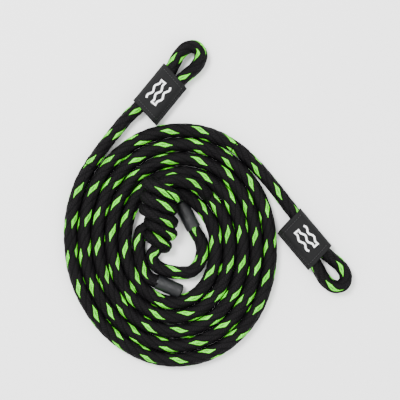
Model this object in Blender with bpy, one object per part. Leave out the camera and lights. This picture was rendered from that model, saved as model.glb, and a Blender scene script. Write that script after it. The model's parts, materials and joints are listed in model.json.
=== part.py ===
"""A coiled tow rope: two solid-braid lines laid side by side in one flat coil.

Line A is wound round line B as a barrel hitch in the middle of the coil. Each line
has a sewn eye in a folded label sleeve at its outer end, and a shrink cap at its
inner end. Metres, +Z up, the coil lies on Z = 0.
"""

import math

import bmesh
import bpy
from mathutils import Matrix, Vector

MM = 0.001
ROPE_RADIUS = 4.7 * MM
LINE_HEIGHT = 5.0 * MM
EYE_ROPE_RADIUS = 4.6 * MM
PITCH = 10.0 * MM
GAP = 0.3 * MM
TUBE_STEP = 4.0 * MM
EYE_STEP = 2.6 * MM
STRAIGHT_END = 4.2 * MM

BEND_SIDE = 5.2 * MM
# Puts the origin under the middle of the whole object.
CENTRING = Vector((-0.284 * MM, -0.564 * MM, 0.0))

# The flat spiral: lower half turns about LOWER_X, upper half turns one pitch further right.
SPIRAL_Y = -30.3 * MM
LOWER_X = -27.6 * MM
UPPER_X = LOWER_X + PITCH
OUTER_RUN = 73.6 * MM
HEIGHT_RATE = 1.06
HEIGHT_EXTRA = 7.0 * MM
UPPER_LEAN = 0.06
LOWER_LEAN = 0.05
COIL_HEIGHT = 9.8 * MM
COIL_EDGE = 4.6 * MM
COIL_ROUND = 3.6 * MM
FACE_FOOT = 5.2 * MM
FACE_STEP = math.radians(3.0)

# Angles on the upper half turns, from +X, where a line leaves the coil.
TAIL_A_ANGLE = math.radians(142.3)
TAIL_B_ANGLE = math.radians(58.5)
LEAD_A_ANGLE = math.radians(43.5)
LEAD_B_ANGLE = math.radians(52.0)

SLEEVE_LENGTH = 35.6 * MM
SLEEVE_WIDTH = 25.0 * MM
SLEEVE_HALF_HEIGHT = 5.9 * MM
SLEEVE_WALL = 0.6 * MM
FLAP_HALF_HEIGHT = 1.1 * MM
THREAD_RADIUS = 0.25 * MM
SEAM_INSET = 3.2 * MM
LOCK_RADIUS = 0.4 * MM
LOCK_TURNS = 13
PRINT_HALF = 8.4 * MM
PRINT_ROW = 4.4 * MM
PRINT_WAVE = 0.9 * MM
PRINT_STROKE = 1.4 * MM
PRINT_THICK = 0.2 * MM

SLEEVES = {
    "a": {"centre": (-35.3 * MM, 81.0 * MM), "angle": math.radians(50.7), "skew": 0.15},
    "b": {"centre": (71.4 * MM, -26.0 * MM), "angle": math.radians(-50.0), "skew": -0.13},
}

CAP_LENGTH = 19.0 * MM
CAP_RADIUS = 4.95 * MM
CAP_WALL = 0.45 * MM
CAPS = {
    "a": {"mouth": (-10.3 * MM, -18.3 * MM), "tip": (-19.1 * MM, -1.5 * MM)},
    "b": {"mouth": (-37.4 * MM, -56.4 * MM), "tip": (-20.0 * MM, -63.2 * MM)},
}

WRAP_TURNS = 5
WRAP_PITCH = 9.3 * MM
WRAP_TOP_PASS = 10.2 * MM
WRAP_GROOVE = 1.3 * MM
# How far a turn falls along the barrel for each step to the right.
WRAP_SLANT = 0.28
# Each turn of the barrel, top to bottom: half its width, half its height, its middle's X and its lift.
WRAPS = [
    (13.2, 12.3, -35.2, 8.0),
    (14.0, 12.4, -35.9, 6.9),
    (14.4, 12.4, -36.2, 3.6),
    (11.4, 10.2, -32.4, 0.6),
    (8.8, 8.0, -35.2, 0.2),
]

# Hand-chosen routes of the loose stretches, millimetres, each along its line.
TAIL_A_ROUTE = [(-82.3, 34.8), (-78.3, 40.7), (-73.8, 46.6), (-69.0, 52.5), (-64.2, 58.5), (-57.9, 65.6)]
TAIL_B_ROUTE = [(28.6, 34.9), (35.0, 28.6), (40.5, 22.6), (45.3, 16.9), (50.1, 11.1), (54.6, 5.2), (59.2, -0.8)]
LEAD_A_ROUTE = [(-5.7, -2.1, 5.6), (-10.4, 2.2, 7.4), (-14.9, 5.6, 9.4), (-18.6, 7.6, 10.8)]
LINE_B_ROUTE = [
    (-0.6, 7.0, 7.4),
    (-4.8, 10.6, 11.0),
    (-9.8, 13.8, 14.6),
    (-16.0, 16.2, 17.8),
    (-24.0, 17.2, 20.2),
    (-30.5, 15.6, 20.6),
    (-33.7, 12.0, 20.0),
    (-34.4, 7.2, 18.8),
    (-34.4, 1.2, 17.4),
    (-34.8, -5.0, 15.4),
    (-37.4, -10.8, 12.0),
    (-42.0, -15.2, 8.2),
    (-46.7, -20.4, 5.7),
    (-49.4, -27.0, 5.0),
    (-50.0, -34.0, 5.0),
    (-49.2, -41.0, 5.0),
    (-46.8, -48.0, 5.0),
    (-44.4, -52.2, 5.0),
]
INNER_LOOP_ROUTE = [
    (-37.4, -35.0, 5.0),
    (-39.8, -38.2, 5.0),
    (-38.4, -43.0, 5.0),
    (-33.2, -47.2, 5.0),
    (-26.0, -49.6, 5.0),
    (-18.6, -50.9, 5.0),
    (-12.4, -50.0, 5.0),
    (-7.4, -45.6, 5.0),
    (-4.4, -38.6, 5.0),
    (-4.2, -31.0, 5.0),
    (-6.0, -25.6, 5.0),
]
# One eye in its sleeve's own axes: along the sleeve, and across it.
EYE_ROUTE = [
    (-19.0, 6.5),
    (-6.0, 6.0),
    (8.0, 5.3),
    (17.5, 5.2),
    (24.0, 6.3),
    (31.0, 7.6),
    (38.0, 7.0),
    (42.4, 4.2),
    (44.0, 0.0),
    (42.4, -4.2),
    (38.0, -7.0),
    (31.0, -7.6),
    (24.0, -6.3),
    (17.5, -5.2),
    (8.0, -4.6),
    (-9.0, -4.0),
]


def clear_scene():
    for obj in list(bpy.data.objects):
        bpy.data.objects.remove(obj, do_unlink=True)


def material(name, colour, roughness, metallic=0.0):
    mat = bpy.data.materials.new(name)
    mat.use_nodes = True
    shader = mat.node_tree.nodes["Principled BSDF"]
    shader.inputs["Base Color"].default_value = (*colour, 1.0)
    shader.inputs["Roughness"].default_value = roughness
    shader.inputs["Metallic"].default_value = metallic
    return mat


def link(name, data, mat):
    obj = bpy.data.objects.new(name, data)
    obj.location = CENTRING
    data.materials.append(mat)
    bpy.context.scene.collection.objects.link(obj)
    return obj


def pivot(name, place):
    """An empty on a joint's upright axis."""
    empty = bpy.data.objects.new(name, None)
    empty.location = place
    empty.empty_display_size = 0.01
    bpy.context.scene.collection.objects.link(empty)
    return empty


def hang_on(empty, pieces):
    """Parents pieces to a pivot without moving them."""
    for piece in pieces:
        piece.parent = empty
        piece.matrix_parent_inverse = Matrix.Translation(-empty.location)


def mesh_object(name, bm, mat):
    bmesh.ops.recalc_face_normals(bm, faces=bm.faces)
    mesh = bpy.data.meshes.new(name)
    bm.to_mesh(mesh)
    bm.free()
    mesh.shade_smooth()
    mesh.set_sharp_from_angle(angle=math.radians(35))
    return link(name, mesh, mat)


def smooth_route(route, step):
    """Evenly spaced points on the Catmull-Rom curve through a route's own points."""
    ends = [2 * route[0] - route[1], *route, 2 * route[-1] - route[-2]]
    fine = []
    for a, b, c, d in zip(ends, ends[1:], ends[2:], ends[3:]):
        for k in range(24):
            t = k / 24
            fine.append(
                0.5
                * (
                    2 * b
                    + (c - a) * t
                    + (2 * a - 5 * b + 4 * c - d) * t * t
                    + (3 * b - a - 3 * c + d) * t**3
                )
            )
    fine.append(route[-1].copy())
    along = [0.0]
    for a, b in zip(fine, fine[1:]):
        along.append(along[-1] + (b - a).length)
    count = max(2, round(along[-1] / step))
    points, k = [], 0
    for i in range(count + 1):
        want = along[-1] * i / count
        while k < len(fine) - 2 and along[k + 1] < want:
            k += 1
        part = (want - along[k]) / (along[k + 1] - along[k])
        points.append(fine[k].lerp(fine[k + 1], part))
    return points


def rope_tube(name, route, mat, radius=ROPE_RADIUS, step=TUBE_STEP, sides=3):
    """A plain tube with filled ends along a route."""
    curve = bpy.data.curves.new(name, "CURVE")
    curve.dimensions = "3D"
    curve.bevel_depth = radius
    curve.bevel_resolution = sides
    curve.use_fill_caps = True
    points = smooth_route(route, step)
    spline = curve.splines.new("POLY")
    spline.points.add(len(points) - 1)
    for target, point in zip(spline.points, points):
        target.co = (*point, 1.0)
    return link(name, curve, mat)


def metres(route, height=LINE_HEIGHT):
    return [Vector((p[0] * MM, p[1] * MM, p[2] * MM if len(p) > 2 else height)) for p in route]


def upper(run, angle):
    """A point on the centre line of an upper half turn whose radius is run."""
    up = (HEIGHT_RATE * run + HEIGHT_EXTRA) * math.sin(angle)
    lean = UPPER_LEAN * up * (1 - math.cos(angle)) / 2
    return Vector((UPPER_X + run * math.cos(angle) - lean, SPIRAL_Y + up, LINE_HEIGHT))


def lower(run, angle):
    """The same on a lower half turn; angle runs from pi on the left to 2 pi on the right."""
    down = (HEIGHT_RATE * run + HEIGHT_EXTRA) * math.sin(angle)
    return Vector((LOWER_X + run * math.cos(angle) - LOWER_LEAN * down, SPIRAL_Y + down, LINE_HEIGHT))


def beside(half, run, angle, side):
    """A point moved square to the line by side, outwards from the coil's middle."""
    heading = (half(run, angle + 0.01) - half(run, angle - 0.01)).normalized()
    return half(run, angle) + Vector((heading.y, -heading.x, 0.0)) * side


def edge(half, run, start, end, side, count):
    return [beside(half, run, start + (end - start) * i / count, side) for i in range(count + 1)]


def coil_outline():
    """The coil's outer edge: line A all the way round, then line B up to where tail A leaves."""
    full = 2 * math.pi
    run = OUTER_RUN
    points = [beside(upper, run + PITCH, TAIL_A_ANGLE, -FACE_FOOT)]
    points += edge(upper, run + PITCH, TAIL_A_ANGLE, math.pi, COIL_EDGE, 6)
    points += edge(lower, run, math.pi, full, COIL_EDGE, 36)[1:]
    points += edge(upper, run - PITCH, 0.0, TAIL_B_ANGLE - FACE_STEP, COIL_EDGE, 11)[1:]
    points += [beside(upper, run, TAIL_B_ANGLE, -FACE_FOOT)]
    points += edge(upper, run, TAIL_B_ANGLE, TAIL_A_ANGLE - FACE_STEP, COIL_EDGE, 16)
    return points


def coil_hole():
    """The edge of the open middle, past the places where the two inner ends leave."""
    full = 2 * math.pi
    inner = OUTER_RUN - 4 * PITCH
    points = edge(lower, inner, math.pi, full, -COIL_EDGE, 28)
    points += edge(upper, inner - PITCH, 0.0, LEAD_A_ANGLE, -COIL_EDGE, 6)[1:]
    points += [beside(upper, inner - PITCH, LEAD_A_ANGLE, FACE_FOOT)]
    points += edge(upper, inner, LEAD_A_ANGLE + FACE_STEP, LEAD_B_ANGLE, -COIL_EDGE, 2)
    points += [beside(upper, inner, LEAD_B_ANGLE, FACE_FOOT)]
    points += edge(upper, inner + PITCH, LEAD_B_ANGLE + FACE_STEP, math.pi, -COIL_EDGE, 16)[:-1]
    return points


def coil_solid(mat):
    """One closed flat ring with rounded upper edges, which holds every turn of both lines."""
    bm = bmesh.new()
    loops = []
    for outline in (coil_outline(), coil_hole()):
        verts = [bm.verts.new((p.x, p.y, 0.0)) for p in outline]
        loops += [bm.edges.new((a, b)) for a, b in zip(verts, verts[1:] + verts[:1])]
    bmesh.ops.triangle_fill(bm, edges=loops, use_beauty=True, normal=(0, 0, 1))
    base = list(bm.faces)
    grown = bmesh.ops.extrude_face_region(bm, geom=base)["geom"]
    raised = [v for v in grown if isinstance(v, bmesh.types.BMVert)]
    bmesh.ops.translate(bm, verts=raised, vec=(0, 0, COIL_HEIGHT))
    rim = [e for e in bm.edges if len(e.link_faces) == 2 and e.calc_face_angle() > 1.2]
    rim = [e for e in rim if abs(e.verts[0].co.z - e.verts[1].co.z) < GAP]
    bmesh.ops.bevel(bm, geom=rim, offset=COIL_ROUND, segments=3, affect="EDGES", profile=0.5)
    return mesh_object("rope_coil", bm, mat)


def frame_of(key):
    """The sleeve's own axes: X along it towards the eye, Y across it."""
    place = SLEEVES[key]
    centre = Vector((*place["centre"], SLEEVE_HALF_HEIGHT))
    return Matrix.Translation(centre) @ Matrix.Rotation(place["angle"], 4, "Z")


def eye_route(key):
    frame = frame_of(key)
    return [frame @ Vector((u * MM, v * MM, 0.0)) for u, v in EYE_ROUTE]


def sleeve_section(half_height, right, left, flap):
    """A rounded cross-section across the sleeve, as (across, up) pairs."""
    points = []
    for i in range(9):
        angle = -math.pi / 2 + math.pi * i / 8
        points.append((right + half_height * math.cos(angle), half_height * math.sin(angle)))
    if flap:
        edge = -SLEEVE_WIDTH / 2
        points += [
            (left, half_height),
            (left - 3.2 * MM, half_height * 0.86),
            (left - 5.0 * MM, half_height * 0.58),
            (edge, FLAP_HALF_HEIGHT),
            (edge, -FLAP_HALF_HEIGHT),
            (left - 5.0 * MM, -half_height * 0.58),
            (left - 3.2 * MM, -half_height * 0.86),
            (left, -half_height),
        ]
    else:
        for i in range(8):
            angle = math.pi / 2 + math.pi * i / 7
            points.append((left + half_height * math.cos(angle), half_height * math.sin(angle)))
    return points


def label_sleeve(key, mat):
    """A folded label round both legs of the eye, with a sewn flap along one side."""
    frame, skew = frame_of(key), SLEEVES[key]["skew"]
    half = SLEEVE_HALF_HEIGHT
    inner = half - SLEEVE_WALL
    outside = sleeve_section(half, SLEEVE_WIDTH / 2 - half, -5.4 * MM, True)
    inside = sleeve_section(inner, SLEEVE_WIDTH / 2 - half, -5.1 * MM, False)
    bm = bmesh.new()
    rings = []
    for end in (-1, 1):
        for section in (outside, inside):
            ring = []
            for across, up in section:
                along = end * SLEEVE_LENGTH / 2 + skew * across
                ring.append(bm.verts.new(frame @ Vector((along, across, up))))
            rings.append(ring)
    count = len(outside)
    for a, b in ((0, 2), (3, 1), (1, 0), (2, 3)):
        for i in range(count):
            j = (i + 1) % count
            bm.faces.new((rings[a][i], rings[a][j], rings[b][j], rings[b][i]))
    return mesh_object(f"label_sleeve_{key}", bm, mat)


def sleeve_seam(key, mat):
    """The sewing thread: across the eye end, down the flap and back across the tail end."""
    frame, skew = frame_of(key), SLEEVES[key]["skew"]
    face = SLEEVE_HALF_HEIGHT + GAP + THREAD_RADIUS
    flap = FLAP_HALF_HEIGHT + 1.6 * MM + GAP + THREAD_RADIUS
    end = SLEEVE_LENGTH / 2 - SEAM_INSET
    row = 0.9 * MM - SLEEVE_WIDTH / 2
    across_up = [(6.0 * MM, face), (-5.4 * MM, face), (-8.8 * MM, face - 0.6 * MM), (-10.9 * MM, face - 2.2 * MM)]
    places = [(end, across, up) for across, up in across_up]
    places += [(end, row, flap), (-end, row, flap)]
    places += [(-end, across, up) for across, up in reversed(across_up)]
    curve = bpy.data.curves.new(f"sleeve_seam_{key}", "CURVE")
    curve.dimensions = "3D"
    curve.bevel_depth = THREAD_RADIUS
    curve.bevel_resolution = 1
    curve.use_fill_caps = True
    spline = curve.splines.new("POLY")
    spline.points.add(len(places) - 1)
    for target, (along, across, up) in zip(spline.points, places):
        target.co = (*(frame @ Vector((along + skew * across, across, up))), 1.0)
    return link(f"sleeve_seam_{key}", curve, mat)


def lock_stitch(key, mat):
    """A zigzag of thread in the groove between the eye's two legs, which locks the fold."""
    frame = frame_of(key)
    curve = bpy.data.curves.new(f"eye_lock_stitch_{key}", "CURVE")
    curve.dimensions = "3D"
    curve.bevel_depth = LOCK_RADIUS
    curve.bevel_resolution = 1
    curve.use_fill_caps = True
    spline = curve.splines.new("POLY")
    spline.points.add(LOCK_TURNS - 1)
    for i, target in enumerate(spline.points):
        along = (i - (LOCK_TURNS - 1) / 2) * 1.8 * MM + 4 * MM
        across = 0.6 * MM + (0.9 * MM if i % 2 else -0.9 * MM)
        target.co = (*(frame @ Vector((along, across, 4.2 * MM))), 1.0)
    return link(f"eye_lock_stitch_{key}", curve, mat)


def print_path():
    """A plain wave that runs across, turns back and runs across again, in the label's plane."""
    path = []
    for row in range(3):
        across = (1 - row) * PRINT_ROW
        heading = 1 if row % 2 == 0 else -1
        for i in range(13):
            along = heading * (i - 6) * PRINT_HALF / 6
            path.append(Vector((along, across + PRINT_WAVE * math.sin(i * math.pi / 3), 0.0)))
    return path


def label_print(key, mat):
    """One printed wave line that doubles back twice on the sleeve's face."""
    frame = frame_of(key) @ Matrix.Translation((0, 1.2 * MM, SLEEVE_HALF_HEIGHT + GAP))
    path = print_path()
    bm = bmesh.new()
    rings = []
    for i, point in enumerate(path):
        ahead = path[min(i + 1, len(path) - 1)] - path[max(i - 1, 0)]
        ahead.normalize()
        side = Vector((-ahead.y, ahead.x, 0.0)) * PRINT_STROKE / 2
        ring = []
        for sign, up in ((-1, 0.0), (1, 0.0), (1, PRINT_THICK), (-1, PRINT_THICK)):
            ring.append(bm.verts.new(frame @ (point + sign * side + Vector((0, 0, up)))))
        rings.append(ring)
    for a, b in zip(rings, rings[1:]):
        for k in range(4):
            j = (k + 1) % 4
            bm.faces.new((a[k], a[j], b[j], b[k]))
    bm.faces.new(rings[0][::-1])
    bm.faces.new(rings[-1])
    return mesh_object(f"label_print_{key}", bm, mat)


def cap_frame(key):
    mouth = Vector((*CAPS[key]["mouth"], CAP_RADIUS))
    tip = Vector((*CAPS[key]["tip"], CAP_RADIUS))
    return Matrix.Translation(mouth) @ (tip - mouth).to_track_quat("X", "Z").to_matrix().to_4x4()


def turned(name, frame, profile, mat, sides=20):
    """A closed profile of (along, radius) pairs spun about the frame's X axis."""
    bm = bmesh.new()
    rings = []
    for along, radius in profile:
        ring = []
        for i in range(sides):
            angle = 2 * math.pi * i / sides
            point = Vector((along, radius * math.cos(angle), radius * math.sin(angle)))
            ring.append(bm.verts.new(frame @ point))
        rings.append(ring)
    for a, b in zip(rings, rings[1:] + rings[:1]):
        for i in range(sides):
            j = (i + 1) % sides
            bm.faces.new((a[i], a[j], b[j], b[i]))
    return mesh_object(name, bm, mat)


def end_cap(key, mat):
    """Heat-shrink tube over the end of a line, open at both ends and pulled in at its lips."""
    inside = CAP_RADIUS - CAP_WALL
    profile = [
        (0.0, inside),
        (0.0, CAP_RADIUS - 0.15 * MM),
        (0.6 * MM, CAP_RADIUS),
        (CAP_LENGTH - 0.8 * MM, CAP_RADIUS),
        (CAP_LENGTH, CAP_RADIUS - 0.2 * MM),
        (CAP_LENGTH, inside),
    ]
    return turned(f"end_cap_{key}", cap_frame(key), profile, mat)


def rope_tip(key, mat):
    """The fused end of a line inside its cap, slightly domed at the open end."""
    frame = cap_frame(key)
    radius = CAP_RADIUS - CAP_WALL - GAP
    bm = bmesh.new()
    sides = 16
    rings = []
    for along, size in ((0.2, 1.0), (17.6, 1.0), (18.3, 0.86), (18.7, 0.5)):
        ring = []
        for i in range(sides):
            angle = 2 * math.pi * i / sides
            point = Vector((along * MM, radius * size * math.cos(angle), radius * size * math.sin(angle)))
            ring.append(bm.verts.new(frame @ point))
        rings.append(ring)
    for a, b in zip(rings, rings[1:]):
        for i in range(sides):
            j = (i + 1) % sides
            bm.faces.new((a[i], a[j], b[j], b[i]))
    bm.faces.new(rings[0])
    bm.faces.new(rings[-1][::-1])
    return mesh_object(f"rope_tip_{key}", bm, mat)


def wrap_at(turn):
    """Half width, half height, middle X and lift of the barrel at a turn number, blended between turns."""
    low = min(max(int(turn), 0), WRAP_TURNS - 2)
    part = min(max(turn - low, 0.0), 1.0)
    return [(a + (b - a) * part) * MM for a, b in zip(WRAPS[low], WRAPS[low + 1])]


def grip_wrap(core, mat):
    """The barrel of line A's turns round line B, ribbed turn by turn and cut by the core."""
    sides = 24
    steps = 6
    bm = bmesh.new()
    rings = []
    for k in range(WRAP_TURNS * steps + 1):
        turn = k / steps - 0.5
        half_width, half_height, middle, lift = wrap_at(turn)
        groove = WRAP_GROOVE * (1 - math.cos(2 * math.pi * turn)) / 2
        ring = []
        for i in range(sides):
            angle = 2 * math.pi * i / sides
            across = (half_width - groove) * math.sin(angle)
            y = WRAP_TOP_PASS - turn * WRAP_PITCH - WRAP_SLANT * across
            z = half_height + lift + (half_height - groove) * math.cos(angle)
            ring.append(bm.verts.new((middle + across, y, z)))
        rings.append(ring)
    for a, b in zip(rings, rings[1:]):
        for i in range(sides):
            j = (i + 1) % sides
            bm.faces.new((a[i], a[j], b[j], b[i]))
    bm.faces.new(rings[0])
    bm.faces.new(rings[-1][::-1])
    barrel = mesh_object("grip_wrap", bm, mat)
    cut = barrel.modifiers.new("core_way", "BOOLEAN")
    cut.operation = "DIFFERENCE"
    cut.object = core
    return barrel


def core_cutter(route, mat):
    """The way of line B through the barrel, one gap wider than the line."""
    curve_object = rope_tube("core_cutter", route, mat, ROPE_RADIUS + GAP)
    mesh = bpy.data.meshes.new_from_object(curve_object.evaluated_get(bpy.context.evaluated_depsgraph_get()))
    bpy.data.objects.remove(curve_object, do_unlink=True)
    cutter = link("core_cutter_mesh", mesh, mat)
    cutter.hide_render = True
    cutter.display_type = "WIRE"
    return cutter


def joined_start(half, run, angle, forwards, route):
    """A route that starts GAP past a coil face and heads the way the line is going."""
    here = half(run, angle)
    step = 0.02 if forwards else -0.02
    ahead = half(run, angle + step) - here
    ahead.normalize()
    return [here + ahead * GAP, here + ahead * STRAIGHT_END, *route]


def into_cap(key):
    """The last points of a line that runs straight up to its cap's mouth."""
    frame = cap_frame(key)
    return [frame @ Vector((-STRAIGHT_END, 0, 0)), frame @ Vector((-GAP, 0, 0))]


def main():
    clear_scene()
    rope = material("rope", (0.012, 0.012, 0.012), 0.75)
    fabric = material("label_fabric", (0.018, 0.018, 0.019), 0.6)
    shrink = material("shrink_tube", (0.035, 0.037, 0.04), 0.35)
    thread = material("thread", (0.02, 0.02, 0.02), 0.5)
    white = material("white_print", (0.85, 0.85, 0.85), 0.45)
    tip = material("fused_rope", (0.02, 0.03, 0.015), 0.5)

    coil_solid(rope)
    inner = OUTER_RUN - 4 * PITCH

    line_b = joined_start(upper, inner, LEAD_B_ANGLE, True, metres(LINE_B_ROUTE))
    line_b += into_cap("b")
    rope_tube("line_b_core", line_b, rope)
    bpy.context.view_layer.update()
    grip_wrap(core_cutter(line_b, rope), rope)

    lead_a = joined_start(upper, inner - PITCH, LEAD_A_ANGLE, True, metres(LEAD_A_ROUTE))
    rope_tube("line_a_lead", lead_a, rope)
    loop_a = [*metres(INNER_LOOP_ROUTE), *into_cap("a")]
    rope_tube("line_a_inner_loop", loop_a, rope)

    tails = {
        "a": joined_start(upper, OUTER_RUN + PITCH, TAIL_A_ANGLE, False, metres(TAIL_A_ROUTE)),
        "b": joined_start(upper, OUTER_RUN, TAIL_B_ANGLE, False, metres(TAIL_B_ROUTE)),
    }
    for key, tail in tails.items():
        heading = (tail[1] - tail[0]).normalized()
        bend = tail[0] + Vector((-heading.y, heading.x, 0.0)) * BEND_SIDE
        eye = eye_route(key)
        outward = (eye[0] - eye[1]).normalized()
        tail += [eye[0] + outward * STRAIGHT_END, eye[0] + outward * GAP]
        moving = [
            rope_tube(f"line_{key}_tail", tail, rope, radius=EYE_ROPE_RADIUS),
            rope_tube(f"eye_{key}", eye, rope, EYE_ROPE_RADIUS, EYE_STEP),
            label_sleeve(key, fabric),
            sleeve_seam(key, thread),
            lock_stitch(key, thread),
            label_print(key, white),
        ]
        hang_on(pivot(f"tail_{key}_pivot", CENTRING + Vector((bend.x, bend.y, 0.0))), moving)
        end_cap(key, shrink)
        rope_tip(key, tip)


main()
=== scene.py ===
"""Looks of the coiled tow rope: braided lines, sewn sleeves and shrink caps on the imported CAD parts.

Everything is in metres, in the row frame: +Z up, the coil lies on Z = 0, line A's eye is
towards +Y and line B's towards +X. Most routes and sizes repeat part.py's. The barrel's outer turns,
line B and the inner loop beside the barrel, and the caps depart from it by up to 3.6 mm.
"""

import json
import math

import bmesh
import bpy
import numpy as np
from mathutils import Matrix, Vector

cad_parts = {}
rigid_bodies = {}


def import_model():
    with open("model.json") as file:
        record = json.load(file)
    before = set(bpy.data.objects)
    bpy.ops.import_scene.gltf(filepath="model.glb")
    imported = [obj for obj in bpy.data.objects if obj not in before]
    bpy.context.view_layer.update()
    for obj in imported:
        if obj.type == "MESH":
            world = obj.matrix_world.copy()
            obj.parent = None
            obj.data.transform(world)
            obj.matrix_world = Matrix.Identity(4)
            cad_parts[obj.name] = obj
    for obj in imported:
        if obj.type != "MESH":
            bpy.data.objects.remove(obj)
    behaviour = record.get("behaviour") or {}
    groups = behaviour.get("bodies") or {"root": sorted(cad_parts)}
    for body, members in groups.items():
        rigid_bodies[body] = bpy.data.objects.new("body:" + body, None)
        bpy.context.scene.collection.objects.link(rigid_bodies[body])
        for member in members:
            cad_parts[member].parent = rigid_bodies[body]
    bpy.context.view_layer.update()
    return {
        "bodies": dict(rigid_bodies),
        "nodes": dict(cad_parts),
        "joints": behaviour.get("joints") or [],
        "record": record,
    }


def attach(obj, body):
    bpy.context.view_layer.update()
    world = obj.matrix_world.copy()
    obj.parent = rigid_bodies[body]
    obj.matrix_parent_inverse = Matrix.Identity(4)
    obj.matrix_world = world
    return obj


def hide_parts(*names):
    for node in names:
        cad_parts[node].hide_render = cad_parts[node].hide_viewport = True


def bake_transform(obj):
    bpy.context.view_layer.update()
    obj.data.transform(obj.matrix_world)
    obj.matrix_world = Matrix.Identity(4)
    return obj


MM = 0.001
CENTRING = np.array([-0.284, -0.564, 0.0]) * MM
UP = np.array([0.0, 0.0, 1.0])

# The rope's braid. A float is one visible stretch of yarn between two others.
BRAID_RADIUS = 4.98 * MM
COILED_RADIUS = 5.3 * MM
COILED_LIFT = 0.3 * MM
CORE_RADIUS = 3.3 * MM
WRAPPED_RADIUS = 4.7 * MM
COLUMNS = 12
COLUMN_ANGLE = 2 * math.pi / COLUMNS
FLOAT_HALF = 7.4 * MM
FLOAT_CUTS = 8
GROOVE = 0.52 * MM
BRAID_TILT = math.tan(math.radians(12.5)) / (4.8 * MM)
RING_STEP = FLOAT_HALF / FLOAT_CUTS
YARN_ROUGHNESS = 0.5

# The flat spiral, as in part.py.
LINE_HEIGHT = 5.0 * MM
PITCH = 10.0 * MM
SPIRAL_Y = -30.3 * MM
LOWER_X = -27.6 * MM
UPPER_X = LOWER_X + PITCH
OUTER_RUN = 73.6 * MM
HEIGHT_RATE = 1.06
HEIGHT_EXTRA = 7.0 * MM
UPPER_LEAN = 0.06
LOWER_LEAN = 0.05
STRAIGHT_END = 4.2 * MM
TAIL_A_ANGLE = math.radians(142.3)
TAIL_B_ANGLE = math.radians(58.5)
LEAD_A_ANGLE = math.radians(43.5)
LEAD_B_ANGLE = math.radians(52.0)

SLEEVE_LENGTH = 35.6 * MM
SLEEVE_WIDTH = 25.0 * MM
SLEEVE_HALF_HEIGHT = 5.9 * MM
SLEEVE_WALL = 0.6 * MM
SEAM_INSET = 3.2 * MM
STITCH_WIDTH = 0.5 * MM
STITCH_HEIGHT = 0.42 * MM
STITCH_GAP = 0.13
SLEEVES = {
    "a": {"centre": (-35.3 * MM, 81.0 * MM), "angle": math.radians(50.7), "skew": 0.15},
    "b": {"centre": (71.4 * MM, -26.0 * MM), "angle": math.radians(-50.0), "skew": -0.13},
}
CAP_RADIUS = 4.95 * MM
CAP_WALL = 0.45 * MM
CAP_SPREAD = 1.13
CAPS = {
    "a": {"mouth": (-10.3 * MM, -18.3 * MM), "tip": (-19.1 * MM, -1.5 * MM), "length": 21.6 * MM},
    "b": {"mouth": (-37.7 * MM, -57.3 * MM), "tip": (-19.7 * MM, -65.0 * MM), "length": 19.4 * MM},
}
WRAP_PITCH = 9.3 * MM
WRAP_TOP_PASS = 10.2 * MM
WRAP_SLANT = 0.28
WRAP_TURNS = 5
WRAP_POINTS = 12
# Each turn of the barrel, top to bottom: half its width, half its height, middle X and lift.
WRAPS = [
    (14.8, 12.3, -33.6, 8.0),
    (14.0, 12.4, -35.9, 6.9),
    (14.4, 12.4, -36.2, 3.6),
    (12.6, 10.2, -33.6, 0.6),
    (10.6, 8.0, -37.0, 0.2),
]

# Green floats on top of the barrel, in millimetres: each takes the float nearest to it.
BARREL_FLOATS = [(-29.8, 9.2), (-31.6, -2.2), (-27.3, 1.4), (-27.3, -11.8), (-26.2, -18.6), (-33.2, -26.6)]
BARREL_LOW = (-52.0, -33.0)
BARREL_HIGH = (-19.0, 17.0)
BARREL_LEAST_HEIGHT = 7.5

# Given routes of the loose stretches, in millimetres.
TAIL_A_ROUTE = [(-82.3, 34.8), (-78.3, 40.7), (-73.8, 46.6), (-69.0, 52.5), (-64.2, 58.5), (-57.9, 65.6)]
TAIL_B_ROUTE = [
    (28.6, 34.9),
    (35.0, 28.6),
    (40.5, 22.6),
    (45.3, 16.9),
    (50.1, 11.1),
    (54.6, 5.2),
    (59.2, -0.8),
]
LEAD_A_ROUTE = [(-5.7, -2.1, 5.6), (-10.4, 2.2, 7.4), (-14.9, 5.6, 9.4), (-18.6, 7.6, 10.8)]
LINE_B_ROUTE = [
    (-0.6, 7.0, 7.4),
    (-4.8, 10.6, 11.0),
    (-9.8, 13.8, 14.6),
    (-16.0, 16.2, 17.8),
    (-24.0, 17.2, 20.2),
    (-30.5, 15.6, 20.6),
    (-33.7, 12.0, 20.0),
    (-34.4, 7.2, 18.8),
    (-34.4, 1.2, 17.4),
    (-34.8, -5.0, 15.4),
    (-37.6, -10.6, 12.0),
    (-43.6, -14.6, 8.2),
    (-48.9, -19.9, 5.7),
    (-50.9, -27.0, 5.0),
    (-51.0, -34.0, 5.0),
    (-50.1, -41.2, 5.0),
    (-47.8, -48.6, 5.0),
    (-45.0, -53.4, 5.0),
]
INNER_LOOP_ROUTE = [
    (-38.8, -34.6, 5.0),
    (-41.4, -38.4, 5.0),
    (-39.9, -43.6, 5.0),
    (-34.2, -48.0, 5.0),
    (-26.4, -50.2, 5.0),
    (-18.6, -50.9, 5.0),
    (-12.4, -50.0, 5.0),
    (-7.4, -45.6, 5.0),
    (-4.4, -38.6, 5.0),
    (-4.2, -31.0, 5.0),
    (-6.0, -25.6, 5.0),
]
# One eye in its sleeve's own axes: along the sleeve, and across it.
EYE_ROUTE = [
    (-19.0, 6.5),
    (-6.0, 6.0),
    (8.0, 5.3),
    (17.5, 5.2),
    (24.0, 6.3),
    (31.0, 7.6),
    (38.0, 7.0),
    (42.4, 4.2),
    (44.0, 0.0),
    (42.4, -4.2),
    (38.0, -7.0),
    (31.0, -7.6),
    (24.0, -6.3),
    (17.5, -5.2),
    (8.0, -4.6),
    (-9.0, -4.0),
]


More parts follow.
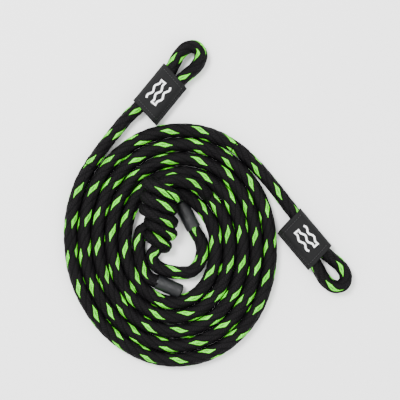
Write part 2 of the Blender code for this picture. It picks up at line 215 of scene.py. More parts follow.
# ---------------------------------------------------------------- routes


def metres(route):
    return [np.array([p[0] * MM, p[1] * MM, p[2] * MM if len(p) > 2 else LINE_HEIGHT]) for p in route]


def upper(run, angle):
    up = (HEIGHT_RATE * run + HEIGHT_EXTRA) * math.sin(angle)
    lean = UPPER_LEAN * up * (1 - math.cos(angle)) / 2
    return np.array([UPPER_X + run * math.cos(angle) - lean, SPIRAL_Y + up, LINE_HEIGHT])


def lower(run, angle):
    down = (HEIGHT_RATE * run + HEIGHT_EXTRA) * math.sin(angle)
    return np.array([LOWER_X + run * math.cos(angle) - LOWER_LEAN * down, SPIRAL_Y + down, LINE_HEIGHT])


def half_turn(half, run, start, end):
    """Points about 3 mm apart along a half turn, without its last one."""
    count = max(4, round(abs(end - start) * run / (3 * MM)))
    return [half(run, start + (end - start) * i / count) for i in range(count)]


def spiral_in(run, start, stop_run, stop_angle):
    """The coil's turns from a tail's place to an inner end: each half turn is one pitch tighter."""
    points = half_turn(upper, run, start, math.pi)
    run -= PITCH
    while run > stop_run + PITCH / 2:
        points += half_turn(lower, run, math.pi, 2 * math.pi)
        run -= PITCH
        if run > stop_run + PITCH / 2:
            points += half_turn(upper, run, 0.0, math.pi)
            run -= PITCH
    points += half_turn(upper, stop_run, 0.0, stop_angle)
    return points


def straight_on(run, angle, forwards):
    """A place on an upper half turn, and one a little way straight on from it."""
    here = upper(run, angle)
    ahead = upper(run, angle + (0.02 if forwards else -0.02)) - here
    return [here, here + ahead / np.linalg.norm(ahead) * STRAIGHT_END]


def wrap_at(turn):
    """The barrel's half width, half height, middle X and lift at a turn or between two, in metres."""
    low = min(max(int(turn), 0), len(WRAPS) - 2)
    part = min(max(turn - low, 0.0), 1.0)
    return [(a + (b - a) * part) * MM for a, b in zip(WRAPS[low], WRAPS[low + 1])]


def barrel_route():
    """Line A's turns round line B, from under the top of the barrel to under its last turn."""
    points = []
    for i in range(1, WRAP_TURNS * WRAP_POINTS + 1):
        turn = -0.5 + i / WRAP_POINTS
        half_width, half_height, middle, lift = wrap_at(turn)
        angle = 2 * math.pi * turn
        across = (half_width - WRAPPED_RADIUS) * math.sin(angle)
        y = WRAP_TOP_PASS - turn * WRAP_PITCH - WRAP_SLANT * across
        z = half_height + lift + (half_height - WRAPPED_RADIUS) * math.cos(angle)
        points.append(np.array([middle + across, y, z]))
    return points


def frame_of(key):
    """The sleeve's own axes: X along it towards the eye, Y across it."""
    place = SLEEVES[key]
    x, y = place["centre"]
    centre = Vector((x + CENTRING[0], y + CENTRING[1], SLEEVE_HALF_HEIGHT))
    return Matrix.Translation(centre) @ Matrix.Rotation(place["angle"], 4, "Z")


def cap_frame(key):
    shift = Vector(CENTRING)
    mouth = Vector((*CAPS[key]["mouth"], CAP_RADIUS)) + shift
    tip = Vector((*CAPS[key]["tip"], CAP_RADIUS)) + shift
    return Matrix.Translation(mouth) @ (tip - mouth).to_track_quat("X", "Z").to_matrix().to_4x4()


def in_cap(key):
    """The line's way straight into its cap's mouth."""
    frame = cap_frame(key)
    return [np.array(frame @ Vector((u * MM, 0, 0))) - CENTRING for u in (-4.2, -0.3, 1.6)]


def eye_points(key):
    frame = frame_of(key)
    return [np.array(frame @ Vector((u * MM, v * MM, 0))) - CENTRING for u, v in EYE_ROUTE]


def catmull_rom(a, b, c, d, t):
    return 0.5 * (2 * b + (c - a) * t + (2 * a - 5 * b + 4 * c - d) * t**2 + (3 * b - a - 3 * c + d) * t**3)


def smooth_line(route):
    """Points about 0.25 mm apart on the Catmull-Rom curve through a route, moved to the row frame."""
    p = np.array(route)
    keep = [0] + [i for i in range(1, len(p)) if np.linalg.norm(p[i] - p[i - 1]) > 0.2 * MM]
    p = p[keep]
    p = np.vstack([2 * p[0] - p[1], p, 2 * p[-1] - p[-2]])
    a, b, c, d = (p[k : len(p) - 3 + k, None] for k in range(4))
    t = (np.arange(12) / 12)[None, :, None]
    curve = catmull_rom(a, b, c, d, t)
    return np.vstack([curve.reshape(-1, 3), p[-2:-1]]) + CENTRING


def along(line):
    return np.concatenate([[0.0], np.cumsum(np.linalg.norm(np.diff(line, axis=0), axis=1))])


def at_lengths(line, places):
    length = along(line)
    return np.stack([np.interp(places, length, line[:, k]) for k in range(3)], axis=1)


# ---------------------------------------------------------------- braid


def carried_frames(centres):
    """Unit tangents and up directions that turn as little as possible, carried inwards from the eye."""
    tangents = np.gradient(centres, axis=0)
    tangents /= np.linalg.norm(tangents, axis=1)[:, None]
    ups = np.zeros_like(centres)
    up = UP - tangents[-1] * (UP @ tangents[-1])
    ups[-1] = up / np.linalg.norm(up)
    for i in range(len(centres) - 2, -1, -1):
        step = centres[i] - centres[i + 1]
        size = step @ step
        up = ups[i + 1] - 2 / size * (step @ ups[i + 1]) * step
        old = tangents[i + 1] - 2 / size * (step @ tangents[i + 1]) * step
        turn = tangents[i] - old
        up = up - 2 / (turn @ turn) * (turn @ up) * turn
        up -= tangents[i] * (up @ tangents[i])
        ups[i] = up / np.linalg.norm(up)
    return tangents, ups


def nearest_ring(centres, place):
    return int(np.argmin(np.linalg.norm(centres - (place + CENTRING), axis=1)))


def rope_rings(route, core, coil_from, coil_to, phase):
    """Everything about a whole line's rings: centres, directions, radii and the braid's place on each."""
    line = smooth_line(route)
    long = along(line)[-1]
    count = int(long / RING_STEP)
    places = np.arange(count + 1) * RING_STEP + (long - count * RING_STEP)
    centres = at_lengths(line, places)
    tangents, ups = carried_frames(centres)
    radii = np.full(len(centres), BRAID_RADIUS)
    coiled = eased(len(centres), nearest_ring(centres, coil_from) + 2, nearest_ring(centres, coil_to) - 2, 12)
    radii += (COILED_RADIUS - BRAID_RADIUS) * coiled
    if core is not None:
        near = [nearest_ring(centres, p) for p in core]
        radii += (CORE_RADIUS - BRAID_RADIUS) * eased(len(centres), min(near), max(near), 9)
    centres[:, 2] += COILED_LIFT * coiled
    rights = np.cross(tangents, ups)
    return {"centres": centres, "ups": ups, "rights": rights, "radii": radii, "phase": phase}


def eased(count, first, last, soft):
    """1 between two places in a list and 0 outside them, with soft places of slope at each end."""
    i = np.arange(count)
    share = np.clip(np.minimum(i - first, last - i) / soft, 0, 1)
    return share * share * (3 - 2 * share)


def place_by_hand(green, spots, places, centre_heights, keys):
    """Makes the barrel's upper floats black, apart from the open one nearest to each chosen spot.

    A float is open if nothing lies over its middle. Distances here are in millimetres.
    """
    x, y, z = ((places - CENTRING) / MM).T
    inside = (x > BARREL_LOW[0]) & (x < BARREL_HIGH[0])
    inside &= (y > BARREL_LOW[1]) & (y < BARREL_HIGH[1])
    upper_side = inside & (centre_heights > BARREL_LEAST_HEIGHT * MM) & (z > centre_heights / MM + 0.5)
    green[np.isin(keys, np.unique(keys[upper_side]))] = False
    seen = {}
    for key in np.unique(keys[inside & (z > centre_heights / MM + 4.0)]):
        here = keys == key
        middle = np.array([x[here].mean(), y[here].mean()])
        above = np.hypot(x - middle[0], y - middle[1]) < 2.0
        if z[above].max() < z[here].max() + 1.0:
            seen[key] = middle
    for spot in spots:
        nearest = min(seen, key=lambda key: np.linalg.norm(seen[key] - spot))
        del seen[nearest]
        green[keys == nearest] = True


def braid_mesh(name, rings, first, last, materials, spots=()):
    """One closed mesh of the braid from ring first to ring last. Each float is a pillow of its own."""
    cuts, around = FLOAT_CUTS, COLUMNS // 2 * FLOAT_CUTS
    numbers = np.arange(first, last + 1)
    index = np.arange(around)[None, :]
    column = (2 * index + numbers[:, None] % 2) / cuts
    row = (numbers / cuts)[:, None] + 0 * column
    u, v = (row + column) / 2, (row - column) / 2
    fu, fv = u - np.round(u), v - np.round(v)
    x, y = fu - fv, fu + fv
    rim = np.clip(np.abs(x) + np.abs(y), 0, 1)
    pillow = (1 - rim**2.6) * (0.72 + 0.28 * (1 - y * y))
    radius = rings["radii"][numbers][:, None] - GROOVE * (1 - pillow)
    theta = column * COLUMN_ANGLE + BRAID_TILT * (row * FLOAT_HALF)
    up, right = rings["ups"][numbers][:, None, :], rings["rights"][numbers][:, None, :]
    points = rings["centres"][numbers][:, None, :] + radius[..., None] * (
        np.cos(theta)[..., None] * up + np.sin(theta)[..., None] * right
    )
    count = len(numbers)
    points = np.vstack([points.reshape(-1, 3), rings["centres"][[first, last]]])

    r = np.arange(count - 2)[:, None]
    odd = ((numbers[:-2] % 2) == 1)[:, None]
    i = index
    left = np.where(odd, i, (i - 1) % around)
    right_hand = np.where(odd, (i + 1) % around, i)
    below, above = r * around + i, (r + 2) * around + i
    beside = (r + 1) * around
    quads = np.stack([below, beside + right_hand, above, beside + left], -1).reshape(-1, 4)
    middle_column = column[:-2]
    middle_row = row[:-2] + 1 / cuts
    cell_u = np.round((middle_row + middle_column) / 2).astype(int)
    cell_v = np.round((middle_row - middle_column) / 2).astype(int)
    cell_row, cell_column = cell_u + cell_v, cell_u - cell_v
    corner_row = np.stack([row[:-2], middle_row, row[:-2] + 2 / cuts, middle_row], -1)
    right_column, left_column = middle_column + 1 / cuts, middle_column - 1 / cuts
    corner_column = np.stack([middle_column, right_column, middle_column, left_column], -1)
    corner_x = corner_column - cell_column[..., None]
    corner_y = corner_row - cell_row[..., None]
    place = np.stack([corner_x, corner_y], -1).reshape(-1, 4, 2)
    green = ((cell_column - 3 * cell_row - rings["phase"]) % COLUMNS == 0).reshape(-1)
    if spots:
        keys = (cell_row * COLUMNS + cell_column % COLUMNS).reshape(-1)
        ring_heights = rings["centres"][numbers[:-2] + 1, 2]
        heights = np.broadcast_to(ring_heights[:, None], cell_u.shape).reshape(-1)
        place_by_hand(green, spots, points[quads].mean(axis=1), heights, keys)
    # A fixed number from 0 to 1 for each float, scattered by the usual sine hash.
    tone = (np.sin(cell_column % COLUMNS * 12.9898 + cell_row * 78.233) * 43758.5453) % 1.0

    def end_ring(ring, other, centre, flip):
        """The small triangles that straighten an end, and the fan that closes it."""
        is_odd = numbers[ring] % 2 == 1
        made = []
        for k in range(around):
            after = (k + 1) % around
            between = after if is_odd else k
            made.append((ring * around + k, ring * around + after, other * around + between))
            made.append((ring * around + after, ring * around + k, centre))
        return [t[::-1] for t in made] if flip else made

    ends = end_ring(0, 1, count * around, False) + end_ring(count - 1, count - 2, count * around + 1, True)
    mesh = bpy.data.meshes.new(name)
    mesh.from_pydata(points.tolist(), [], quads.tolist() + ends)
    for mat in materials:
        mesh.materials.append(mat)
    picks = np.concatenate([green.astype(np.int32), np.zeros(len(ends), np.int32)])
    mesh.polygons.foreach_set("material_index", picks)
    layer = mesh.uv_layers.new(name="float_place")
    flat = np.concatenate([(place.reshape(-1) + 1) / 2, np.full(len(ends) * 6, 0.5)])
    layer.data.foreach_set("uv", flat.astype(np.float32))
    shade = mesh.attributes.new("float_tone", "FLOAT", "FACE")
    tones = np.concatenate([tone.reshape(-1), np.full(len(ends), 0.5)])
    shade.data.foreach_set("value", tones.astype(np.float32))
    mesh.validate()
    mesh.shade_smooth()
    obj = bpy.data.objects.new(name, mesh)
    bpy.context.scene.collection.objects.link(obj)
    return obj


# ---------------------------------------------------------------- materials


def new_material(name):
    mat = bpy.data.materials.new(name)
    mat.use_nodes = True
    tree = mat.node_tree
    return mat, tree, tree.nodes["Principled BSDF"]


def maths(tree, kind, first, second=None, clamp=False):
    node = tree.nodes.new("ShaderNodeMath")
    node.operation = kind
    node.use_clamp = clamp
    for socket, value in zip(node.inputs, (first, second)):
        if value is None:
            continue
        if isinstance(value, (int, float)):
            socket.default_value = value
        else:
            tree.links.new(value, socket)
    return node.outputs[0]


def blended(tree, share, first, second):
    """Two colours, mixed by a share."""
    node = tree.nodes.new("ShaderNodeMix")
    node.data_type = "RGBA"
    tree.links.new(share, node.inputs["Factor"])
    for socket, value in ((node.inputs[6], first), (node.inputs[7], second)):
        if isinstance(value, tuple):
            socket.default_value = (*value, 1.0)
        else:
            tree.links.new(value, socket)
    return node.outputs[2]


def noise(tree, scale, detail):
    node = tree.nodes.new("ShaderNodeTexNoise")
    node.inputs["Scale"].default_value = scale
    node.inputs["Detail"].default_value = detail
    return node.outputs["Fac"]


def raised(tree, shader, height, strength, distance):
    node = tree.nodes.new("ShaderNodeBump")
    node.inputs["Strength"].default_value = strength
    node.inputs["Distance"].default_value = distance
    tree.links.new(height, node.inputs["Height"])
    tree.links.new(node.outputs["Normal"], shader.inputs["Normal"])


def yarn_material(name, light, deep, parting_depth, ply_depth, rim_start, groove_shade):
    """Two plies of yarn side by side along each float, twisted and slightly stepped.

    light is a painted highlight on the lit ridges of the plies and filaments, and deep is painted shade in
    the hollows between them and down the parting of the two plies. The last colour is painted groove shade,
    nearly black, over the float's rim from rim_start outwards.
    """
    mat, tree, shader = new_material(name)
    place = tree.nodes.new("ShaderNodeUVMap")
    place.uv_map = "float_place"
    parts = tree.nodes.new("ShaderNodeSeparateXYZ")
    tree.links.new(place.outputs["UV"], parts.inputs[0])
    x = maths(tree, "SUBTRACT", maths(tree, "MULTIPLY", parts.outputs["X"], 2.0), 1.0)
    y = maths(tree, "SUBTRACT", maths(tree, "MULTIPLY", parts.outputs["Y"], 2.0), 1.0)
    wide_x = maths(tree, "ABSOLUTE", x)
    tone = tree.nodes.new("ShaderNodeAttribute")
    tone.attribute_name = "float_tone"
    # The right-hand ply sits a step further along than the left-hand one.
    across = maths(tree, "ADD", maths(tree, "MULTIPLY", x, 5.0), 0.5)
    side = maths(tree, "SUBTRACT", maths(tree, "MULTIPLY", across, 1.0, True), 0.5)
    stepped = maths(tree, "SUBTRACT", y, maths(tree, "MULTIPLY", side, 0.42))
    edge = maths(tree, "ADD", maths(tree, "MULTIPLY", wide_x, 1.08), maths(tree, "ABSOLUTE", stepped))
    # Mask of the painted groove shade at the float's rim, where the grooves between floats lie.
    rim = maths(tree, "MULTIPLY", maths(tree, "SUBTRACT", edge, rim_start), 7.0, True)
    twist = maths(tree, "ADD", maths(tree, "MULTIPLY", wide_x, 10.0), maths(tree, "MULTIPLY", y, 27.0))
    plies = maths(tree, "SINE", twist)
    filaments = maths(tree, "SINE", maths(tree, "MULTIPLY", x, 38.0))
    # Painted shade down the parting between the two plies, which the bump below also sinks.
    parting = maths(tree, "SUBTRACT", 1.1, maths(tree, "MULTIPLY", wide_x, 3.3), True)
    inner = maths(tree, "SUBTRACT", 1.2, maths(tree, "MULTIPLY", maths(tree, "ABSOLUTE", y), 2.2), True)
    parting = maths(tree, "MULTIPLY", maths(tree, "MULTIPLY", parting, inner), parting_depth, True)
    fuzz = noise(tree, 2600.0, 2.0)
    # The ply twist and filament lines give the painted highlight on the yarn's ridges and painted shade in
    # its hollows; the fuzz adds random tone.
    dark = maths(tree, "MULTIPLY", maths(tree, "ADD", plies, 0.6), ply_depth)
    lines = maths(tree, "MULTIPLY", maths(tree, "ADD", filaments, 1.0), ply_depth * 0.4)
    dark = maths(tree, "ADD", dark, lines)
    dark = maths(tree, "ADD", dark, maths(tree, "MULTIPLY", fuzz, 0.15))
    dark = maths(tree, "MAXIMUM", dark, parting)
    colour = blended(tree, maths(tree, "ADD", dark, 0.0, True), light, deep)
    # Painted groove shade, nearly black, over the float's rim.
    colour = blended(tree, rim, colour, groove_shade)
    varied = tree.nodes.new("ShaderNodeHueSaturation")
    tree.links.new(colour, varied.inputs["Color"])
    value = maths(tree, "ADD", maths(tree, "MULTIPLY", tone.outputs["Fac"], 0.3), 0.82)
    tree.links.new(value, varied.inputs["Value"])
    tree.links.new(varied.outputs["Color"], shader.inputs["Base Color"])
    rough = maths(tree, "ADD", YARN_ROUGHNESS, maths(tree, "MULTIPLY", fuzz, 0.2), True)
    tree.links.new(rough, shader.inputs["Roughness"])
    shader.inputs["Specular IOR Level"].default_value = 0.07
    height = maths(tree, "ADD", maths(tree, "MULTIPLY", plies, -0.7), maths(tree, "MULTIPLY", parting, -1.6))
    height = maths(tree, "ADD", height, maths(tree, "MULTIPLY", filaments, -0.3))
    height = maths(tree, "ADD", height, maths(tree, "MULTIPLY", fuzz, 0.6))
    raised(tree, shader, height, 0.6, 0.00015)
    return mat


def woven_material(name, light, dark, scale):
    """A close plain weave in the piece's own axes, with a soft sheen and a little lint."""
    mat, tree, shader = new_material(name)
    place = tree.nodes.new("ShaderNodeTexCoord")
    parts = tree.nodes.new("ShaderNodeSeparateXYZ")
    tree.links.new(place.outputs["Object"], parts.inputs[0])
    warp = maths(tree, "SINE", maths(tree, "MULTIPLY", parts.outputs["X"], scale))
    weft = maths(tree, "SINE", maths(tree, "MULTIPLY", parts.outputs["Y"], scale))
    weave = maths(tree, "MULTIPLY", warp, weft)
    lint = noise(tree, 420.0, 4.0)
    worn = noise(tree, 60.0, 3.0)
    share = maths(tree, "ADD", maths(tree, "MULTIPLY", weave, 0.22), maths(tree, "MULTIPLY", lint, 0.55))
    share = maths(tree, "ADD", share, maths(tree, "MULTIPLY", worn, 0.35), True)
    tree.links.new(blended(tree, share, dark, light), shader.inputs["Base Color"])
    rough = maths(tree, "ADD", 0.62, maths(tree, "MULTIPLY", lint, 0.25), True)
    tree.links.new(rough, shader.inputs["Roughness"])
    shader.inputs["Specular IOR Level"].default_value = 0.16
    shader.inputs["Sheen Weight"].default_value = 0.004
    shader.inputs["Sheen Roughness"].default_value = 0.4
    raised(tree, shader, maths(tree, "ADD", weave, maths(tree, "MULTIPLY", lint, 0.6)), 0.4, 0.00012)
    return mat


def plain_material(name, light, dark, roughness, scale, bump):
    """A smooth material whose colour and gloss wander a little."""
    mat, tree, shader = new_material(name)
    broad = noise(tree, scale, 3.0)
    fine = noise(tree, scale * 9, 4.0)
    tree.links.new(blended(tree, broad, dark, light), shader.inputs["Base Color"])
    rough = maths(tree, "ADD", roughness - 0.08, maths(tree, "MULTIPLY", fine, 0.18), True)
    tree.links.new(rough, shader.inputs["Roughness"])
    shader.inputs["Specular IOR Level"].default_value = 0.3
    raised(tree, shader, fine, bump, 0.0001)
    return mat


# ---------------------------------------------------------------- sleeves, stitches and caps


def new_object(name, points, faces, mat, place=None):
    mesh = bpy.data.meshes.new(name)
    mesh.from_pydata([tuple(p) for p in points], [], faces)
    mesh.materials.append(mat)
    mesh.validate()
    mesh.shade_smooth()
    obj = bpy.data.objects.new(name, mesh)
    bpy.context.scene.collection.objects.link(obj)
    if place is not None:
        obj.matrix_world = place
    return obj


def quads_between(rings):
    """The faces between each ring of points and the next."""
    faces = []
    for a, b in zip(rings, rings[1:]):
        for i in range(len(a)):
            j = (i + 1) % len(a)
            faces.append((a[i], a[j], b[j], b[i]))
    return faces


def rounded(points, per_step):
    """A closed Catmull-Rom curve through a closed list of 2-D points."""
    p = np.array(points)
    a, b, c, d = (np.roll(p, k, axis=0)[:, None] for k in (1, 0, -1, -2))
    t = (np.arange(per_step) / per_step)[None, :, None]
    return catmull_rom(a, b, c, d, t).reshape(-1, 2)


def sleeve_outline(inset):
    """The folded label's cross-section, round over both rope legs and thin at its sewn flap."""
    half = SLEEVE_HALF_HEIGHT - inset
    right = SLEEVE_WIDTH / 2 - SLEEVE_HALF_HEIGHT
    left = -5.4 * MM
    points = []
    for i in range(9):
        angle = -math.pi / 2 + math.pi * i / 8
        points.append((right + half * math.cos(angle), half * math.sin(angle)))
    points += [(2.4 * MM, half * 0.985), (-1.6 * MM, half * 0.985)]
    tip = -SLEEVE_WIDTH / 2 + inset
    thin = max(1.1 * MM - inset, 0.25 * MM)
    flap = [
        (left, half),
        (left - 2.9 * MM, half * 0.84),
        (left - 4.9 * MM, half * 0.36),
        (tip + 1.4 * MM, thin),
        (tip, thin * 0.6),
    ]
    points += flap + [(across, -up) for across, up in flap[::-1]]
    points += [(-1.6 * MM, -half * 0.985), (2.4 * MM, -half * 0.985)]
    return rounded(points, 4)


def face_height(across):
    """How high the sleeve's upper face is at a place across it, from its middle plane."""
    outline = sleeve_outline(0.0)
    upper_side = outline[outline[:, 1] > 0]
    order = np.argsort(upper_side[:, 0])
    return float(np.interp(across, upper_side[order, 0], upper_side[order, 1]))


def dents(along_at, across, key):
    """Small hollows and waves in the label's cloth, in metres."""
    shift = 0.0 if key == "a" else 1.7
    wave = math.sin(along_at / (5.2 * MM) + 1.3 + shift) * math.sin(across / (4.1 * MM) + 0.4)
    slow = math.sin(along_at / (9.7 * MM) + 2.1 * shift) * math.cos(across / (7.3 * MM) + 1.1)
    return 0.10 * MM * wave + 0.16 * MM * slow


def make_sleeve(key, mat):
    """The label's outer and inner skins, joined at both open ends. It never goes below the floor."""
    skew = SLEEVES[key]["skew"]
    outside, inside = sleeve_outline(0.0), sleeve_outline(SLEEVE_WALL)
    rows = 40
    points, rings = [], []
    half = SLEEVE_LENGTH / 2
    for section, reverse in ((outside, False), (inside, True)):
        order = range(rows + 1) if not reverse else range(rows, -1, -1)
        for k in order:
            base = -half + SLEEVE_LENGTH * k / rows
            edge = max(0.0, 1 - min(k, rows - k) / 1.5)
            flare = 0.28 * MM * max(0.0, 1 - min(k, rows - k) / 4) if not reverse else 0.18 * MM * edge
            ring = []
            for across, up in section:
                size = math.hypot(across, up)
                bend = dents(base, across, key) * min(1.0, abs(up) / (3 * MM)) if not reverse else 0.0
                grow = 1 + (flare * min(1.0, abs(up) / (2 * MM)) + bend) / max(size, 3 * MM)
                squash_edge = 1 - 0.03 * edge
                ring.append(len(points))
                height = max(up * grow * squash_edge, -SLEEVE_HALF_HEIGHT)
                points.append((base + skew * across, across * grow, height))
            rings.append(ring)
    faces = quads_between(rings + rings[:1])
    obj = new_object(f"sewn_sleeve_{key}", points, faces, mat, frame_of(key))
    fix_normals(obj)
    return obj


def fix_normals(obj):
    bm = bmesh.new()
    bm.from_mesh(obj.data)
    bmesh.ops.recalc_face_normals(bm, faces=bm.faces)
    bm.to_mesh(obj.data)
    bm.free()


def capsule(points, faces, start, end, normal, width, height):
    """Adds one raised stitch between two points on a face."""
    ahead = (end - start).normalized()
    side = normal.cross(ahead).normalized()
    base = len(points)
    steps, sides = 6, 8
    for i in range(steps + 1):
        share = i / steps
        bulge = math.sin(math.pi * share) ** 0.5
        centre = start.lerp(end, share) + normal * (height * (0.75 * bulge - 0.35))
        for k in range(sides):
            angle = 2 * math.pi * k / sides
            size = 0.35 + 0.65 * bulge
            across = side * math.cos(angle) * width / 2 * size
            points.append(centre + across + normal * math.sin(angle) * height / 2 * size)
    for i in range(steps):
        for k in range(sides):
            j = (k + 1) % sides
            a, b = base + i * sides, base + (i + 1) * sides
            faces.append((a + k, a + j, b + j, b + k))
    faces.append(tuple(base + k for k in range(sides))[::-1])
    faces.append(tuple(base + steps * sides + k for k in range(sides)))


def make_stitches(key, mat):
    """Rows of lock stitches across both ends of the label and two rows down its flap."""
    skew = SLEEVES[key]["skew"]
    points, faces = [], []

    def face_point(along_at, across):
        up = face_height(across) + dents(along_at, across, key) * 0.8
        return Vector((along_at + skew * across, across, up))

    def row_of(path):
        for a, b in zip(path, path[1:]):
            run = (b - a).length
            normal = (b - a).cross(Vector((0, 0, 1)).cross(b - a)).normalized()
            if normal.z < 0:
                normal = -normal
            start, end = a.lerp(b, STITCH_GAP), b.lerp(a, STITCH_GAP)
            capsule(points, faces, start, end, normal, STITCH_WIDTH, min(STITCH_HEIGHT, run))

    reach = SLEEVE_LENGTH / 2 - SEAM_INSET
    for base in (-reach, reach):
        row_of([face_point(base, 9.6 * MM - i * 2.0 * MM) for i in range(11)])
    for across in (-11.4 * MM, -10.2 * MM):
        row_of([face_point(-reach + 2 * reach * i / 15, across) for i in range(16)])
    obj = new_object(f"sleeve_stitches_{key}", points, faces, mat, frame_of(key))
    fix_normals(obj)
    return obj


def make_cap(key, mat):
    """Shrunk tube: the braid's lumps show through, its lips are pulled in, and it is open at both ends."""
    rows, sides = 76, 72
    length = CAPS[key]["length"]
    points, rings = [], []
    inside = CAP_RADIUS - CAP_WALL
    for k in range(rows + 1):
        at = length * k / rows
        lip = min(at, length - at) / (1.1 * MM)
        lip = 1 - max(0.0, 1 - lip) ** 2
        ring = []
        for i in range(sides):
            angle = 2 * math.pi * i / sides
            row = at / FLOAT_HALF
            column = (angle - BRAID_TILT * at) / COLUMN_ANGLE
            u, v = (row + column) / 2, (row - column) / 2
            fu, fv = u - round(u), v - round(v)
            rim = min(1.0, abs(fu - fv) + abs(fu + fv))
            lump = 0.16 * MM * (1 - rim**2)
            crease = 0.05 * MM * math.sin(3 * angle + at / (1.9 * MM)) * math.sin(at / (2.6 * MM))
            radius = CAP_RADIUS - 0.22 * MM - 0.18 * MM * (1 - lip) + lump * lip + crease * lip
            ring.append(len(points))
            points.append((at, CAP_SPREAD * radius * math.cos(angle), radius * math.sin(angle)))
        rings.append(ring)
    for at in (length, length - 1.5 * MM, 1.5 * MM, 0.0):
        ring = []
        for i in range(sides):
            angle = 2 * math.pi * i / sides
            ring.append(len(points))
            points.append((at, CAP_SPREAD * inside * math.cos(angle), inside * math.sin(angle)))
        rings.append(ring)
    faces = quads_between(rings + rings[:1])
    obj = new_object(f"shrunk_cap_{key}", points, faces, mat, cap_frame(key))
    fix_normals(obj)
    return obj


def make_tip(key, mat):
    """The line's fused end: a domed plug that closes the cap's outer mouth."""
    sides = 48
    length = CAPS[key]["length"]
    inside = CAP_RADIUS - CAP_WALL - 0.05 * MM
    outline = [(-4.0, 0.90), (-0.6, 0.96), (0.1, 0.93), (0.6, 0.78), (0.85, 0.52), (0.95, 0.22)]
    points = []
    for at, share in outline:
        for i in range(sides):
            angle = 2 * math.pi * i / sides
            ripple = 1 + 0.03 * math.sin(6 * angle) * share
            radius = inside * share * ripple
            points.append((length + at * MM, CAP_SPREAD * radius * math.cos(angle), radius * math.sin(angle)))
    rings = [tuple(range(k * sides, (k + 1) * sides)) for k in range(len(outline))]
    faces = quads_between(rings) + [rings[0][::-1], rings[-1]]
    obj = new_object(f"fused_tip_{key}", points, faces, mat, cap_frame(key))
    fix_normals(obj)
    return obj


# ---------------------------------------------------------------- the scene


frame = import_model()

# For each yarn, light is its painted highlight on the ply ridges, deep its painted shade in the hollows and
# parting, and the last colour its painted groove shade at the float's rim.
GREEN = yarn_material(
    "green_yarn",
    light=(0.135, 0.90, 0.024),
    deep=(0.0015, 0.075, 0.0003),
    parting_depth=0.95,
    ply_depth=0.26,
    rim_start=0.84,
    groove_shade=(0.003, 0.006, 0.002),
)
BLACK = yarn_material(
    "black_yarn",
    light=(0.0060, 0.0050, 0.0060),
    deep=(0.0001, 0.0001, 0.0002),
    parting_depth=0.5,
    ply_depth=0.62,
    rim_start=0.92,
    groove_shade=(0.0002, 0.0002, 0.0003),
)
LABEL = woven_material("label_weave", (0.0062, 0.0062, 0.0066), (0.0016, 0.0016, 0.0018), 5200.0)
THREAD = plain_material("sewing_thread", (0.014, 0.014, 0.015), (0.005, 0.005, 0.0055), 0.4, 900.0, 0.4)
PRINT = plain_material("white_print", (0.88, 0.88, 0.88), (0.74, 0.74, 0.74), 0.5, 260.0, 0.2)
SHRINK = plain_material("shrink_tube", (0.0058, 0.0064, 0.0072), (0.0034, 0.0038, 0.0044), 0.42, 240.0, 0.25)
FUSED = plain_material("fused_rope", (0.003, 0.005, 0.0025), (0.001, 0.0015, 0.001), 0.6, 500.0, 0.5)

OUTER_A = OUTER_RUN + PITCH
INNER_A = OUTER_RUN - 5 * PITCH
OUTER_B = OUTER_RUN
INNER_B = OUTER_RUN - 4 * PITCH
# in runs from where the tail leaves the coil to the cap, and out from there to the eye.
ROUTES = {
    "a": {
        "in": spiral_in(OUTER_A, TAIL_A_ANGLE, INNER_A, LEAD_A_ANGLE)
        + straight_on(INNER_A, LEAD_A_ANGLE, True)
        + metres(LEAD_A_ROUTE)
        + barrel_route()
        + metres(INNER_LOOP_ROUTE)
        + in_cap("a"),
        "out": straight_on(OUTER_A, TAIL_A_ANGLE, False)[1:] + metres(TAIL_A_ROUTE) + eye_points("a"),
        "core": None,
        "coil": (upper(INNER_A, LEAD_A_ANGLE), upper(OUTER_A, TAIL_A_ANGLE)),
        "phase": 0,
        "spots": BARREL_FLOATS,
        "nodes": ("line_a_lead", "line_a_inner_loop", "grip_wrap"),
    },
    "b": {
        "in": spiral_in(OUTER_B, TAIL_B_ANGLE, INNER_B, LEAD_B_ANGLE)
        + straight_on(INNER_B, LEAD_B_ANGLE, True)
        + metres(LINE_B_ROUTE)
        + in_cap("b"),
        "out": straight_on(OUTER_B, TAIL_B_ANGLE, False)[1:] + metres(TAIL_B_ROUTE) + eye_points("b"),
        "core": (metres([LINE_B_ROUTE[6]])[0], metres([LINE_B_ROUTE[12]])[0]),
        "coil": (upper(INNER_B, LEAD_B_ANGLE), upper(OUTER_B, TAIL_B_ANGLE)),
        "phase": 4,
        "spots": (),
        "nodes": ("rope_coil", "line_b_core"),
    },
}

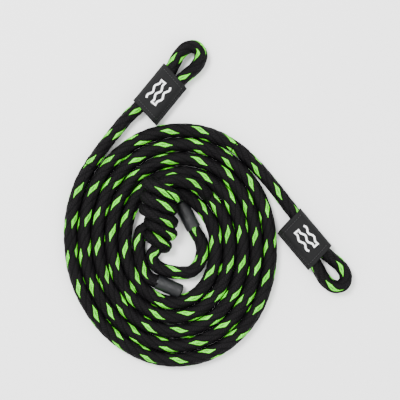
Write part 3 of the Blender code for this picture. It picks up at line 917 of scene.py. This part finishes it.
for key, plan in ROUTES.items():
    caps = make_cap(key, SHRINK)
    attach(caps, "root")
    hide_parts(f"end_cap_{key}")
    tip = make_tip(key, FUSED)
    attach(tip, "root")
    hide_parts(f"rope_tip_{key}")

    rings = rope_rings(plan["in"][::-1] + plan["out"], plan["core"], *plan["coil"], plan["phase"])
    cut = nearest_ring(rings["centres"], plan["in"][0])
    last = len(rings["centres"]) - 1
    coil = braid_mesh(f"line_{key}_coiled", rings, 0, cut, (BLACK, GREEN), plan["spots"])
    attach(coil, "root")
    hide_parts(*plan["nodes"])

    tail = braid_mesh(f"line_{key}_eye_end", rings, cut, last, (BLACK, GREEN))
    ahead = rings["centres"][cut + 3] - rings["centres"][cut]
    ahead /= np.linalg.norm(ahead)
    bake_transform(tail)
    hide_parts(f"line_{key}_tail", f"eye_{key}")

    sleeve = make_sleeve(key, LABEL)
    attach(sleeve, f"tail_{key}")
    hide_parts(f"label_sleeve_{key}")
    stitches = make_stitches(key, THREAD)
    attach(stitches, f"tail_{key}")
    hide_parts(f"sleeve_seam_{key}")

for name, mat in (("eye_lock_stitch", THREAD), ("label_print", PRINT)):
    for key in "ab":
        node = frame["nodes"][f"{name}_{key}"]
        node.data.materials.clear()
        node.data.materials.append(mat)

floor_mat, floor_tree, floor_shader = new_material("pale_floor")
floor_shader.inputs["Base Color"].default_value = (0.9, 0.9, 0.9, 1.0)
floor_shader.inputs["Roughness"].default_value = 0.9
floor_shader.inputs["Specular IOR Level"].default_value = 0.1
floor = new_object("floor", [(-3, -3, 0), (3, -3, 0), (3, 3, 0), (-3, 3, 0)], [(0, 1, 2, 3)], floor_mat)

world = bpy.context.scene.world or bpy.data.worlds.new("studio")
bpy.context.scene.world = world
world.use_nodes = True
world.node_tree.nodes["Background"].inputs["Color"].default_value = (1.0, 1.0, 1.0, 1.0)
world.node_tree.nodes["Background"].inputs["Strength"].default_value = 1.9


def soft_light(name, place, size, power):
    data = bpy.data.lights.new(name, "AREA")
    data.shape = "DISK"
    data.size = size
    data.energy = power
    lamp = bpy.data.objects.new(name, data)
    lamp.location = place
    lamp.rotation_euler = (-Vector(place)).to_track_quat("-Z", "Y").to_euler()
    bpy.context.scene.collection.objects.link(lamp)


soft_light("key_light", (-0.55, 0.5, 1.3), 0.6, 40.0)
soft_light("fill_light", (0.8, -0.4, 1.0), 1.2, 8.0)

camera_data = bpy.data.cameras.new("camera")
camera_data.lens = 100.0
camera_data.sensor_width = 36.0
camera = bpy.data.objects.new("camera", camera_data)
camera.location = (-6.02 * MM, 2.4 * MM, 0.8272)
bpy.context.scene.collection.objects.link(camera)
bpy.context.scene.camera = camera
